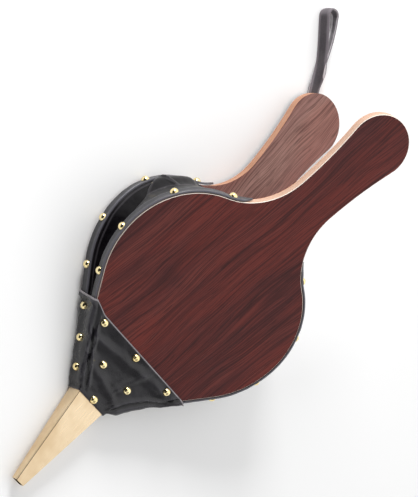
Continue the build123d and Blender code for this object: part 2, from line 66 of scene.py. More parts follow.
HINGE = Vector(JOINTS["pump"]["pos_m"])
REAR_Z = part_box("rear_outer_veneer")[0].z
INNER_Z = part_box("rear_inner_veneer")[1].z
BOARD = INNER_Z - REAR_Z
HINGE_GAP = HINGE.z - INNER_Z
HINGE_HEIGHT = HINGE.z - REAR_Z
OPENING = radians(19.5)
ALONG = Vector((cos(OPENING), 0, sin(OPENING)))
NORMAL = Vector((-sin(OPENING), 0, cos(OPENING)))

# Board outline
HALF_WIDTH = 91 * MM
WIDEST = 81.4 * MM
NOSE_ARC = 77 * MM
SHOULDER_ARC = 67.5 * MM
FLANK = radians(38.1)
NECK_ARC = 59 * MM
NECK_HALF_WIDTH = 20.3 * MM

# Nose block and nozzle
BLOCK_REACH = 36 * MM
BLOCK_HEEL = 24 * MM
NOZZLE_REACH = HINGE.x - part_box("nozzle")[0].x
NOZZLE_BASE = (32 * MM, 15.5 * MM)
NOZZLE_TIP = (9.6 * MM, 6.4 * MM)
NOZZLE_DROP = 2.6 * MM
NOZZLE_WALL = 0.6 * MM

# Leather
COVER = 1.3 * MM
COVER_OVERLAP = 13 * MM
COVER_LIP = 7 * MM
COVER_LAP = 4 * MM
BAND = 2.4 * MM
BAND_START = 13.2 * MM
BAND_END = 150 * MM
BAND_POINT = 6 * MM


def rear(u, v, h):
    """A point of the rear board: station, sideways, height over its outer face."""
    return Vector((HINGE.x + u, v, REAR_Z + h))


def front(u, v, h):
    """A point of the front board: station, sideways, height over its inner face."""
    return HINGE + ALONG * u + NORMAL * h + Vector((0, v, 0))


def fan(u, v, w):
    """A point between the boards: w is 0 on the rear board's inner face and 1 on the front board's."""
    turn = w * OPENING
    return Vector((HINGE.x + u * cos(turn), v, HINGE.z - HINGE_GAP * (1 - w) + u * sin(turn)))


def lerp(a, b, t):
    return a + (b - a) * t


def ease(t):
    """0 up to t = 0, 1 from t = 1, smooth between."""
    t = max(0.0, min(1.0, t))
    return t * t * (3 - 2 * t)


def bell(x, width):
    return exp(-((x / width) ** 2))


def wobble(x, y, z=0.0):
    """Smooth noise from about -1 to 1."""
    return noise.noise(Vector((x, y, z))) * 1.6


# ---------------------------------------------------------------- board outline
FLANK_OUT = Vector((-sin(FLANK), cos(FLANK)))
NOSE_CENTRE = Vector((WIDEST, HALF_WIDTH - NOSE_ARC))
SHOULDER_CENTRE = Vector((WIDEST, HALF_WIDTH - SHOULDER_ARC))
FLANK_END = NOSE_CENTRE + FLANK_OUT * NOSE_ARC
NECK_RISE = NECK_HALF_WIDTH + NECK_ARC - SHOULDER_CENTRE.y
NECK_RUN = sqrt((SHOULDER_ARC + NECK_ARC) ** 2 - NECK_RISE**2)
NECK_CENTRE = SHOULDER_CENTRE + Vector((NECK_RUN, NECK_RISE))
NECK_START = SHOULDER_CENTRE.x + SHOULDER_ARC * NECK_RUN / (SHOULDER_ARC + NECK_ARC)


def flank(u):
    """Half width of the straight flanks."""
    return FLANK_END.y - (FLANK_END.x - u) * tan(FLANK)


def edge(u):
    """The board's edge at a station, and the outward direction there."""
    if u < FLANK_END.x:
        return Vector((u, flank(u))), FLANK_OUT
    if u < NECK_START:
        at_nose = u < WIDEST
        centre = NOSE_CENTRE if at_nose else SHOULDER_CENTRE
        radius = NOSE_ARC if at_nose else SHOULDER_ARC
        run = u - centre.x
        outward = Vector((run, sqrt(radius**2 - run**2))) / radius
        return centre + outward * radius, outward
    run = NECK_CENTRE.x - u
    outward = Vector((run, sqrt(NECK_ARC**2 - run**2))) / NECK_ARC
    return NECK_CENTRE - outward * NECK_ARC, outward


def length_of(line):
    return sum((b - a).length for a, b in zip(line, line[1:]))


def heading_at(line, k):
    """Direction of a line at its point k, by the neighbours."""
    return (line[min(k + 1, len(line) - 1)] - line[max(k - 1, 0)]).normalized()


def evenly(points, step):
    """The same line with points about step apart."""
    lengths = [(b - a).length for a, b in zip(points, points[1:])]
    total = sum(lengths)
    count = max(2, round(total / step))
    found, i, passed = [points[0]], 0, 0.0
    for k in range(1, count):
        goal = total * k / count
        while passed + lengths[i] < goal:
            passed += lengths[i]
            i += 1
        found.append(points[i].lerp(points[i + 1], (goal - passed) / lengths[i]))
    return found + [points[-1]]


# ---------------------------------------------------------------- mesh building
def piece(name, points, faces, materials, marked=()):
    """A smooth-shaded mesh; marked faces take the second material."""
    mesh = bpy.data.meshes.new(name)
    mesh.from_pydata([tuple(p) for p in points], [], faces)
    for material in materials:
        mesh.materials.append(material)
    for face in mesh.polygons:
        face.use_smooth = True
    for index in marked:
        mesh.polygons[index].material_index = 1
    shape = bmesh.new()
    shape.from_mesh(mesh)
    bmesh.ops.recalc_face_normals(shape, faces=shape.faces)
    shape.to_mesh(mesh)
    shape.free()
    mesh.set_sharp_from_angle(angle=radians(50))
    made = bpy.data.objects.new(name, mesh)
    bpy.context.scene.collection.objects.link(made)
    return made


def skin(name, outer, inner, materials, wrap=False):
    """A sheet with thickness, from two grids of points; its cut edges take the second material."""
    rows, columns = len(outer), len(outer[0])
    points = [p for row in outer for p in row] + [p for row in inner for p in row]
    half = rows * columns
    last = columns if wrap else columns - 1

    def at(i, j, side):
        return side * half + i * columns + j % columns

    faces = []
    for side in (0, 1):
        for i in range(rows - 1):
            for j in range(last):
                faces.append((at(i, j, side), at(i, j + 1, side), at(i + 1, j + 1, side), at(i + 1, j, side)))
    cut_from = len(faces)
    for i in (0, rows - 1):
        for j in range(last):
            faces.append((at(i, j, 0), at(i, j + 1, 0), at(i, j + 1, 1), at(i, j, 1)))
    if not wrap:
        for j in (0, columns - 1):
            for i in range(rows - 1):
                faces.append((at(i, j, 0), at(i + 1, j, 0), at(i + 1, j, 1), at(i, j, 1)))
    return piece(name, points, faces, materials, range(cut_from, len(faces)))


def bar(name, rings, materials):
    """A closed bar through rings of points, with flat ends."""
    count = len(rings[0])
    points = [p for ring in rings for p in ring]
    faces = []
    for i in range(len(rings) - 1):
        for j in range(count):
            k = (j + 1) % count
            faces.append((i * count + j, i * count + k, (i + 1) * count + k, (i + 1) * count + j))
    faces.append(tuple(range(count)))
    faces.append(tuple((len(rings) - 1) * count + j for j in range(count)))
    return piece(name, points, faces, materials)


def grid_normals(grid, wrap):
    """Unit normals of a grid of points, by the differences to the neighbours."""
    rows, columns = len(grid), len(grid[0])
    normals = []
    for i in range(rows):
        line = []
        for j in range(columns):
            low, high = (j - 1, j + 1) if wrap else (max(j - 1, 0), min(j + 1, columns - 1))
            across = grid[i][high % columns] - grid[i][low % columns]
            down = grid[min(i + 1, rows - 1)][j] - grid[max(i - 1, 0)][j]
            line.append(across.cross(down).normalized())
        normals.append(line)
    return normals


def tack_centres(*nodes):
    """The middle of each tack in these nodes: vertices nearer than a tack's length belong together."""
    reach = 11 * MM
    groups = []
    for node in nodes:
        for vertex in frame["nodes"][node].data.vertices:
            for group in groups:
                if (group[0] - vertex.co).length < reach:
                    group.append(vertex.co.copy())
                    break
            else:
                groups.append([vertex.co.copy()])
    return [sum(group, Vector()) / len(group) for group in groups]


# ---------------------------------------------------------------- materials
def linear(c):
    """One channel, 0 to 255 on a screen, as linear light."""
    return ((c / 255 + 0.055) / 1.055) ** 2.4 if c > 10 else c / 255 / 12.92


def colour(r, g, b):
    """A colour with channels from 0 to 255 as linear light, opaque."""
    return (linear(r), linear(g), linear(b), 1.0)


def shade(base, factor, lift=0.0):
    """A darker or paler version of a colour."""
    return tuple(c * factor + lift for c in base[:3]) + (1,)


class Shader:
    """A Principled material with short ways to add texture nodes."""

    def __init__(self, name, **settings):
        self.material = bpy.data.materials.new(name)
        self.material.use_nodes = True
        self.tree = self.material.node_tree
        self.bsdf = self.tree.nodes["Principled BSDF"]
        for key, value in settings.items():
            self.bsdf.inputs[key.replace("_", " ")].default_value = value
        self.place = self.tree.nodes.new("ShaderNodeTexCoord").outputs["Object"]

    def node(self, kind, inputs, **properties):
        made = self.tree.nodes.new("ShaderNode" + kind)
        for key, value in properties.items():
            setattr(made, key, value)
        for key, value in inputs.items():
            self.set(made.inputs[key], value)
        return made

    def set(self, socket, value):
        if isinstance(value, bpy.types.NodeSocket):
            self.tree.links.new(value, socket)
        else:
            socket.default_value = value

    def stretched(self, scale, turn=0.0, shift=(0, 0, 0), place=None):
        """Texture coordinates, turned about Y and stretched; a scale is in cycles per metre."""
        turned = self.node("Mapping", {"Vector": place or self.place, "Rotation": (0, turn, 0)})
        inputs = {"Vector": turned.outputs[0], "Scale": scale, "Location": shift}
        return self.node("Mapping", inputs).outputs[0]

    def noise(self, place, scale=1.0, detail=3.0, roughness=0.55, distortion=0.0):
        inputs = {"Vector": place, "Scale": scale, "Detail": detail, "Roughness": roughness}
        return self.node("TexNoise", {**inputs, "Distortion": distortion}).outputs["Fac"]

    def spots(self, place, scale, feature="F1", randomness=1.0):
        inputs = {"Vector": place, "Scale": scale, "Randomness": randomness}
        return self.node("TexVoronoi", inputs, feature=feature).outputs["Distance"]

    def ramp(self, value, stops):
        """Colours by value: stops are (position, colour) pairs."""
        made = self.node("ValToRGB", {"Fac": value})
        ramp = made.color_ramp
        while len(ramp.elements) < len(stops):
            ramp.elements.new(0.5)
        for element, (position, tone) in zip(ramp.elements, stops):
            element.position = position
            element.color = tone
        return made.outputs["Color"]

    def range(self, value, low, high, to_low=0.0, to_high=1.0):
        inputs = {"Value": value, "From Min": low, "From Max": high, "To Min": to_low, "To Max": to_high}
        return self.node("MapRange", inputs, interpolation_type="SMOOTHSTEP").outputs["Result"]

    def mix(self, share, a, b, mode="MIX"):
        made = self.node("Mix", {"Factor": share}, data_type="RGBA", blend_type=mode)
        self.set(made.inputs[6], a)
        self.set(made.inputs[7], b)
        return made.outputs[2]

    def sum(self, a, b, mode="ADD"):
        made = self.node("Math", {}, operation=mode)
        self.set(made.inputs[0], a)
        self.set(made.inputs[1], b)
        return made.outputs[0]

    def facing(self, direction):
        """How far the surface faces a direction of the object, from -1 to 1."""
        normal = self.node("TexCoord", {}).outputs["Normal"]
        made = self.node("VectorMath", {}, operation="DOT_PRODUCT")
        self.set(made.inputs[0], normal)
        self.set(made.inputs[1], direction)
        return made.outputs["Value"]

    def bump(self, height, distance, strength=1.0, below=None):
        inputs = {"Height": height, "Distance": distance, "Strength": strength}
        if below is not None:
            inputs["Normal"] = below
        return self.node("Bump", inputs).outputs["Normal"]

    def finish(self, base=None, roughness=None, normal=None):
        if base is not None:
            self.set(self.bsdf.inputs["Base Color"], base)
        if roughness is not None:
            self.set(self.bsdf.inputs["Roughness"], roughness)
        if normal is not None:
            self.set(self.bsdf.inputs["Normal"], normal)
        return self.material


def veneer(name, turn, outward, dark, middle, light, patch, rim, gloss):
    """A veneered board face with its grain along the board; all but the outward face takes the rim colour."""
    s = Shader(name, Specular_IOR_Level=gloss)
    flow = s.noise(s.stretched((5, 16, 16), turn), detail=2.0)
    bent = s.node("VectorMath", {}, operation="MULTIPLY_ADD")
    s.set(bent.inputs[0], s.node("CombineXYZ", {"Y": flow}).outputs[0])
    bent.inputs[1].default_value = (0, 0.034, 0)
    s.set(bent.inputs[2], s.place)
    place = bent.outputs[0]
    bands = s.noise(s.stretched((2.6, 48, 48), turn, place=place), detail=4.0, roughness=0.6)
    rings = s.noise(s.stretched((1.7, 110, 110), turn, (1, 4, 2), place), detail=2.0)
    rings = s.sum(s.sum(rings, 0.5, "SUBTRACT"), 0, "ABSOLUTE")
    streaks = s.noise(s.stretched((10, 700, 700), turn, place=place), detail=4.0, roughness=0.7)
    fibres = s.noise(s.stretched((34, 1500, 1500), turn, place=place), detail=2.0, roughness=0.6)
    patches = s.noise(s.stretched((8, 22, 22), turn, (3, 1, 2)), detail=3.0)
    pores = s.noise(s.stretched((52, 860, 860), turn, (5, 5, 5), place), detail=1.0)
    tone = s.ramp(bands, [(0.22, dark), (0.44, middle), (0.68, light)])
    tone = s.mix(s.range(patches, 0.42, 0.62, 0, 0.7), tone, patch)
    tone = s.mix(s.range(rings, 0.0, 0.022, 0.7, 0), tone, dark)
    tone = s.mix(s.range(streaks, 0.52, 0.62, 0, 0.6), tone, dark)
    tone = s.mix(s.range(streaks, 0.48, 0.36, 0, 0.45), tone, light)
    tone = s.mix(s.range(fibres, 0.46, 0.58, 0.0, 0.45), tone, dark)
    tone = s.mix(s.range(pores, 0.62, 0.7, 0, 0.4), tone, shade(dark, 0.4))
    # Every face but the outward one takes the rim colour; on the mahogany that is partly a painted highlight.
    flat = s.range(s.facing(outward), 0.85, 0.97)
    tone = s.mix(flat, rim, tone)
    relief = s.sum(s.sum(fibres, 0.5, "MULTIPLY"), s.range(pores, 0.6, 0.66, 0, -0.6))
    normal = s.bump(relief, 0.00014, 0.6)
    rough = s.range(streaks, 0.2, 0.8, 0.38, 0.56)
    return s.finish(tone, rough, normal)


def board_edge(name, turn, pale, deep):
    """The pale plies that show on a board's edge, softly sanded."""
    s = Shader(name, Specular_IOR_Level=0.35)
    plies = s.noise(s.stretched((4, 4, 620), turn), detail=2.0, roughness=0.7)
    fibres = s.noise(s.stretched((160, 160, 1500), turn), detail=3.0)
    mottle = s.noise(s.stretched((40, 40, 90), turn), detail=2.0)
    tone = s.mix(s.range(plies, 0.35, 0.7, 0, 0.5), pale, deep)
    tone = s.mix(s.range(fibres, 0.45, 0.7, 0, 0.35), tone, deep)
    tone = s.mix(s.range(mottle, 0.5, 0.75, 0, 0.3), tone, shade(deep, 0.8))
    return s.finish(tone, s.range(fibres, 0.3, 0.7, 0.5, 0.7), s.bump(fibres, 0.00015, 0.4))


def leather(name, base, light, roughness, grain=1.0, seed=0.0, ridge_wear_and_highlight=0.5, gloss=0.45):
    """Leather with a pebbled grain, fine creases and uneven gloss; paler where it is bent or rubbed, as wear
    and painted highlight, and darker in its hollows, as painted shade.
    """
    s = Shader(name, Specular_IOR_Level=gloss)
    shift = (seed, seed * 0.7, seed * 1.3)
    pebbles = s.spots(s.stretched((1, 1, 1), shift=shift), 1150)
    creases = s.noise(s.stretched((210, 210, 210), shift=shift), detail=5.0, roughness=0.62, distortion=0.6)
    mottle = s.noise(s.stretched((38, 38, 38), shift=shift), detail=4.0, roughness=0.6)
    tone = s.mix(s.range(mottle, 0.36, 0.68), base, light)
    tone = s.mix(s.range(pebbles, 0.35, 0.75, 0, 0.35), tone, shade(base, 0.5))
    # Paler along the marked creases: wear and painted highlight.
    crease_wear_and_highlight_mask = s.node("Attribute", {}, attribute_name="crease_wear_and_highlight").outputs["Fac"]
    tone = s.mix(crease_wear_and_highlight_mask, tone, shade(light, 2.5, 0.06))
    curve = s.node("NewGeometry", {}).outputs["Pointiness"]
    # Paler on convex ridges: wear and painted highlight.
    tone = s.mix(s.range(curve, 0.503, 0.54, 0, ridge_wear_and_highlight), tone, shade(light, 3.2, 0.02))
    # Darker in concave hollows: painted shade.
    tone = s.mix(s.range(curve, 0.497, 0.47, 0, 0.7), tone, shade(base, 0.3))
    height = s.sum(s.sum(pebbles, -0.5, "MULTIPLY"), s.sum(creases, 0.8, "MULTIPLY"))
    uneven = s.sum(s.sum(mottle, creases), 0.5, "MULTIPLY")
    rough = s.range(uneven, 0.35, 0.65, roughness - 0.07, roughness + 0.1)
    return s.finish(tone, rough, s.bump(height, 0.00022 * grain, 0.55))


def brass(name, pale, deep, roughness, brushed):
    """Brass with fine brushing lines or tarnish spots, a little uneven in tone."""
    s = Shader(name, Metallic=1.0)
    scale = (30, 900, 900) if brushed else (260, 260, 260)
    lines = s.noise(s.stretched(scale), detail=3.0, roughness=0.6)
    cloud = s.noise(s.stretched((45, 45, 45), shift=(2, 7, 1)), detail=3.0)
    tone = s.mix(s.range(cloud, 0.35, 0.7, 0.05, 0.65), pale, deep)
    tone = s.mix(s.range(lines, 0.5, 0.75, 0, 0.2), tone, deep)
    uneven = s.sum(s.sum(lines, cloud), 0.5, "MULTIPLY")
    rough = s.range(uneven, 0.3, 0.7, roughness - 0.06, roughness + 0.12)
    return s.finish(tone, rough, s.bump(lines, 0.00004, 0.35))


def iron(name):
    """Dull dark steel of small screws and pins."""
    s = Shader(name, Metallic=0.9)
    cloud = s.noise(s.stretched((600, 600, 600)), detail=4.0)
    tone = s.mix(s.range(cloud, 0.4, 0.7), colour(92, 88, 84), colour(52, 44, 38))
    return s.finish(tone, s.range(cloud, 0.3, 0.7, 0.35, 0.6), s.bump(cloud, 0.0001, 0.4))


mahogany = dict(
    dark=colour(50, 17, 18),
    middle=colour(86, 36, 35),
    light=colour(116, 54, 48),
    patch=colour(116, 44, 36),
    # Near-white: the pale edge of the veneer, and a painted highlight along the chamfer.
    rim=colour(240, 226, 214),
    gloss=0.3,
)
walnut = dict(
    dark=colour(92, 60, 54),
    middle=colour(134, 94, 88),
    light=colour(160, 122, 112),
    patch=colour(148, 98, 88),
    rim=colour(198, 138, 108),
    gloss=0.2,
)
front_face = veneer("front_face", OPENING, tuple(NORMAL), **mahogany)
rear_face = veneer("rear_face", 0.0, (0, 0, -1), **mahogany)
front_inside = veneer("front_inside", OPENING, tuple(-NORMAL), **walnut)
rear_inside = veneer("rear_inside", 0.0, (0, 0, 1), **walnut)
front_core = board_edge("front_core", OPENING, colour(202, 168, 146), colour(178, 138, 114))
rear_core = board_edge("rear_core", 0.0, colour(190, 142, 114), colour(164, 112, 86))
# Each leather below is painted paler on its convex ridges, as wear and painted highlight, and darker in its
# hollows, as painted shade.
cover_leather = leather(
    "cover_leather", colour(16, 14, 19), colour(25, 23, 29), 0.3, seed=1.0, ridge_wear_and_highlight=0.35, gloss=0.5
)
# Pale raw-edge leather, also laid on the cover rim's bevelled strip as a painted highlight.
cut_edge_and_highlight_leather = leather("cut_edge_and_highlight_leather", colour(72, 69, 72), colour(96, 92, 94), 0.7, seed=3.0)
band_leather = leather(
    "band_leather", colour(38, 37, 41), colour(52, 51, 56), 0.36, grain=0.7, seed=5.0, ridge_wear_and_highlight=0.8
)
# Black leather whose colour is darkened further, as painted shade for the wall's place between the boards.
gusset_leather = leather(
    "gusset_leather", colour(8, 6, 9), colour(14, 11, 15), 0.32, grain=0.4, seed=9.0, ridge_wear_and_highlight=0.9, gloss=0.15
)
strap_leather = leather("strap_leather", colour(66, 61, 66), colour(82, 77, 81), 0.62, seed=13.0)
strap_back = leather("strap_back", colour(150, 146, 150), colour(178, 174, 176), 0.72, seed=17.0)
flap_leather = leather("flap_leather", colour(116, 82, 56), colour(142, 106, 76), 0.7, seed=21.0)
# Dark brass for the nozzle's inside: painted shade in the hollow.
brass_inside = brass("brass_inside", colour(88, 70, 48), colour(52, 40, 28), 0.5, False)
nozzle_brass = brass("nozzle_brass", colour(234, 212, 178), colour(214, 186, 146), 0.3, True)
tack_brass = brass("tack_brass", colour(255, 240, 190), colour(240, 212, 140), 0.13, False)
screw_iron = iron("screw_iron")

CAD_MATERIALS = {
    "front_board_core": front_core,
    "front_inner_veneer": front_inside,
    "front_outer_veneer": front_face,
    "rear_board_core": rear_core,
    "rear_inner_veneer": rear_inside,
    "rear_outer_veneer": rear_face,
    "nose_block": rear_core,
    "nozzle_pins": screw_iron,
    "front_band_tacks": tack_brass,
    "rear_band_tacks": tack_brass,
    "cover_hinge_tacks": tack_brass,
    "cover_front_tacks": tack_brass,
    "cover_rear_tacks": tack_brass,
    "cover_side_tacks": tack_brass,
    "flap_tab_tacks": screw_iron,
    "lap_screws": screw_iron,
    "strap_screw": screw_iron,
}
for node, material in CAD_MATERIALS.items():
    mesh = frame["nodes"][node].data
    for index in range(max(1, len(mesh.materials))):
        if len(mesh.materials) > index:
            mesh.materials[index] = material
        else:
            mesh.materials.append(material)


# ---------------------------------------------------------------- binding strips
def binding_strip(name, place, side, tacks):
    """A leather strip on a board's edge, with raised rims, dimpled under its tacks, pointed at the neck."""
    seat = 0.75 * MM
    rim = 0.9 * MM
    stations = [lerp(BAND_START, BAND_END + BAND_POINT, k / 400) for k in range(401)]
    line = evenly([edge(u)[0] for u in stations], 1.2 * MM)
    rings = []
    for point in line:
        foot, outward = edge(point.x)
        shrink = max(0.04, min(1.0, (BAND_END + BAND_POINT - point.x) / BAND_POINT))
        ring = []

        def add(out, height):
            """Adds one point, drawn to the board's middle near the strip's point."""
            h = BOARD / 2 + (height - BOARD / 2) * shrink
            spot = foot + outward * out
            ring.append(place(spot.x, side * spot.y, h))

        def top(height):
            """How far the strip's outer face stands off the edge at a height."""
            middle = place(foot.x + outward.x * BAND, side * (foot.y + outward.y * BAND), height)
            near = min((middle - tack).length for tack in tacks)
            crown = 0.28 * MM * abs(2 * height / BOARD - 1) ** 3
            dimple = 0.3 * MM * bell(near, 5.5 * MM)
            wave = 0.12 * MM * wobble(point.x * 160, height * 260, side * 3.0)
            return BAND - 0.12 * MM + crown + wave * (1 - bell(near, 6 * MM)) - dimple

        add(seat, 0.1 * MM)
        for k in range(5):
            a = pi / 2 * k / 4
            add(top(rim) - rim + rim * sin(a), 0.1 * MM + rim * (1 - cos(a)))
        for k in range(1, 10):
            h = lerp(rim, BOARD - rim, k / 10)
            add(top(h), h)
        for k in range(5):
            a = pi / 2 * k / 4
            add(top(BOARD - rim) - rim + rim * cos(a), BOARD - 0.1 * MM - rim * (1 - sin(a)))
        add(seat, BOARD - 0.1 * MM)
        rings.append(ring)
    made = bar(name + "_leather", rings, [band_leather])
    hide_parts(name)
    return made


for board, place in (("front", front), ("rear", rear)):
    tacks = tack_centres(board + "_band_tacks")
    for word, side in (("left", 1), ("right", -1)):
        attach(binding_strip(f"{board}_band_{word}", place, side, tacks), board)


# ---------------------------------------------------------------- gusset
GUSSET = 0.9 * MM
GUSSET_BACK = 148 * MM
GUSSET_TURN = 134 * MM
GUSSET_WRAP = 6 * MM
GUSSET_SEAT = 0.7 * MM
STILL_RISE = 0.45 * HINGE_GAP


def gusset_line():
    """Plan of the wall: along the left edge, round, across the neck and back along the right edge."""
    side = [edge(lerp(1 * MM, GUSSET_TURN, k / 200))[0] for k in range(201)]
    start, heading = side[-1], (side[-1] - side[-2]).normalized()
    reach = (GUSSET_BACK - start.x) / heading.x
    corner = start + heading * reach
    end = Vector((GUSSET_BACK, corner.y - reach))
    turn = [start.lerp(corner, k / 20).lerp(corner.lerp(end, k / 20), k / 20) for k in range(1, 21)]
    half = side + turn + [Vector((GUSSET_BACK, 0))]
    return evenly(half + [Vector((p.x, -p.y)) for p in reversed(half[:-1])], 1.0 * MM)


def crease(w):
    """Station of the fold that runs from the rear board's shoulder down to the front board's edge."""
    return lerp(119 * MM, 74 * MM, w)


def short_crease(w):
    """Station of the second, shorter fold from the same place."""
    return lerp(119 * MM, 125 * MM, w / 0.55)


def gusset_depth(u, w):
    """How far the wall is folded inwards."""
    tent = 1 - abs(2 * w - 1)
    inward = 9 * MM * ease(u / (60 * MM)) + 1.5 * MM
    past = u - crease(w)
    swell = ease((past + 3 * MM) / (7 * MM)) * (1 - ease((u - 136 * MM) / (9 * MM)))
    depth = lerp(inward * tent**0.85, (2.5 * tent - 3.4 * bell(w - 0.2, 0.2)) * MM, swell)
    ridge = 2.4 * MM * bell(past, 1.5 * MM) * min(1.0, 5 * w * (1 - w))
    short = u - short_crease(w)
    ridge += 1.8 * MM * bell(short, 1.2 * MM) * ease((0.6 - w) / 0.25) * min(1.0, 6 * w)
    folds = 0.6 * MM * wobble(u * 75, w * 1.5, 4.0) + 0.1 * MM * wobble(u * 300, w * 4, 8.0)
    return depth - ridge + folds * min(1.0, 6 * w * (1 - w))


def strip_share(u):
    """Share of the height that the still strip beside each board takes."""
    return STILL_RISE / (HINGE_GAP + max(u, 0) * OPENING)


def gusset_grids(shares):
    """Outer and inner points of one part of the wall; shares(u) gives w for each row."""
    line = gusset_line()
    outer, inner = [], []
    for k, point in enumerate(line):
        ahead = heading_at(line, k)
        outward = Vector((-ahead.y, ahead.x))
        columns = ([], [])
        for w in shares(point.x):
            depth = gusset_depth(point.x, w) - GUSSET_SEAT
            for column, extra in zip(columns, (0.0, GUSSET)):
                spot = point - outward * (depth + extra)
                column.append(fan(spot.x, spot.y, w))
        outer.append(columns[0])
        inner.append(columns[1])
    return outer, inner


def wrapped(grids, place, rim):
    """Adds the leather that wraps the board's edge under the strip, as far as the wall is on that edge."""
    line = gusset_line()
    for k, point in enumerate(line):
        ahead = heading_at(line, k)
        outward = Vector((-ahead.y, ahead.x))
        length = GUSSET_WRAP * (1 - ease((point.x - GUSSET_TURN + 12 * MM) / (10 * MM)))
        for grid, out in zip(grids, (GUSSET_SEAT, 0.08 * MM)):
            spot = point + outward * out
            extra = [place(spot.x, spot.y, rim(length * share)) for share in (1.0, 0.5, 0.03)]
            grid[k] = extra + grid[k]
    return grids


def spread(low, high, count):
    return [lerp(low, high, k / count) for k in range(count + 1)]


def mark_crease_wear_and_highlight(made):
    """Writes how pale each point is painted: the two sharp creases, where the dye has rubbed off, with a
    painted highlight along each fold.
    """
    crease_wear_and_highlight = made.data.attributes.new("crease_wear_and_highlight", "FLOAT", "POINT")
    for vertex, value in zip(made.data.vertices, crease_wear_and_highlight.data):
        run, w = vertex.co.x - HINGE.x, 0.5
        for _ in range(3):
            rise = vertex.co.z - HINGE.z + HINGE_GAP * (1 - w)
            w = atan2(rise, max(run, 1 * MM)) / OPENING
        u = hypot(run, rise)
        long_line = bell(u - crease(w), 0.9 * MM) * (0.8 + 0.3 * wobble(u * 150, 3.0))
        short_line = 0.8 * bell(u - short_crease(w), 0.8 * MM) * ease((0.6 - w) / 0.25)
        value.value = max(0.0, min(1.0, long_line + short_line))


def gusset_part(name, body, grids):
    made = skin(name, grids[0], grids[1], [gusset_leather, gusset_leather])
    mark_crease_wear_and_highlight(made)
    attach(made, body)
    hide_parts("gusset")
    return made


def make_gusset():
    """The wall in two halves, one on each board, and a still strip beside each board."""
    rear_edge_grids = wrapped(
        gusset_grids(lambda u: spread(0.012, strip_share(u), 3)), rear, lambda depth: BOARD - depth
    )
    front_edge_grids = wrapped(
        gusset_grids(lambda u: spread(0.988, 1 - strip_share(u), 3)), front, lambda depth: depth
    )
    rear_wall_grids = gusset_grids(lambda u: spread(strip_share(u), 0.5, 22))
    front_wall_grids = gusset_grids(lambda u: spread(1 - strip_share(u), 0.5, 22))
    rear_edge = gusset_part("gusset_rear_edge", "rear", rear_edge_grids)
    rear_wall = gusset_part("gusset_rear_half", "rear", rear_wall_grids)
    front_edge = gusset_part("gusset_front_edge", "front", front_edge_grids)
    front_wall = gusset_part("gusset_front_half", "front", front_wall_grids)
    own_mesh(rear_wall)
    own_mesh(front_wall)
    length = length_of(gusset_line())


make_gusset()


# ---------------------------------------------------------------- nose cover
def nozzle_share(u):
    """0 at the nozzle's base, 1 at its tip."""
    return (-BLOCK_REACH - u) / (NOZZLE_REACH - BLOCK_REACH)


def nozzle_size(u):
    """Width, height and underside of the nozzle at a station."""
    share = nozzle_share(u)
    width = lerp(NOZZLE_BASE[0], NOZZLE_TIP[0], share)
    height = lerp(NOZZLE_BASE[1], NOZZLE_TIP[1], share)
    return width, height, -NOZZLE_DROP * (1 - share)


def profile(points, counts):
    """A line through (x, height) points with a count of steps for each stretch, its corners eased."""
    line = []
    for a, b, count in zip(points, points[1:], counts):
        line += [Vector(a).lerp(Vector(b), k / count) for k in range(count)]
    line.append(Vector(points[-1]))
    for _ in range(3):
        line = [line[0]] + [(a + b * 2 + c) / 4 for a, b, c in zip(line, line[1:], line[2:])] + [line[-1]]
    return line


def cover_station(x, h):
    """Station of a point of the nose seen from the side, and how far it belongs to the front board."""
    along = x * cos(OPENING) + (h - HINGE_HEIGHT) * sin(OPENING)
    on_front = ease((h - BOARD) / (6 * MM)) * ease((along + 9 * MM) / (8 * MM))
    return lerp(x, along, on_front), on_front


def cover_half_width(x, h):
    """Half width under the leather at a point of the nose seen from the side."""
    station = cover_station(x, h)[0]
    if station > -BLOCK_REACH:
        return flank(station)
    width = nozzle_size(station)[0] / 2
    return lerp(flank(-BLOCK_REACH), width, ease((-BLOCK_REACH - station) / (5 * MM)))


def cover_section(low, high, radius):
    """Ring of one section, from the middle of the front face to the left and round."""
    rise = high - low
    tall = rise.length

    def at(share, width, out):
        spot = low.lerp(high, share)
        return Vector((spot.x, width + out, spot.y))

    def wide(share):
        spot = low.lerp(high, share)
        return cover_half_width(spot.x, spot.y) + COVER / cos(FLANK) * 0.95

    corner = radius / tall
    half = []
    for k in range(26):
        half.append(at(1.0, (wide(1.0) - radius) * k / 26, 0))
    for k in range(6):
        a = pi / 2 * k / 5
        half.append(at(1 - corner * (1 - cos(a)), wide(1 - corner) - radius, radius * sin(a)))
    for k in range(1, 14):
        half.append(at(lerp(1 - corner, corner, k / 14), wide(lerp(1 - corner, corner, k / 14)), 0))
    for k in range(6):
        a = pi / 2 * k / 5
        half.append(at(corner * (1 - sin(a)), wide(corner) - radius, radius * cos(a)))
    for k in range(1, 15):
        half.append(at(0.0, (wide(0.0) - radius) * (1 - k / 14), 0))
    other = [Vector((p.x, -p.y, p.z)) for p in reversed(half[1:-1])]
    return [Vector((HINGE.x + p.x, p.y, REAR_Z + p.z)) for p in half + other]


def drawn_over_bands(point, share):
    """Moves the rim's left side further along the flank, so that it laps over the ends of the strips."""
    if point.y <= 0:
        return point
    x, y, h = point.x - HINGE.x, point.y, point.z - REAR_Z
    on_front = cover_station(x, h)[1]
    inset = cover_half_width(x, h) + COVER - y
    pull = COVER_LAP * share * ease((15 * MM - inset) / (15 * MM))
    turn = OPENING * on_front
    return point + Vector((pull * cos(turn), pull * tan(FLANK), pull * sin(turn)))


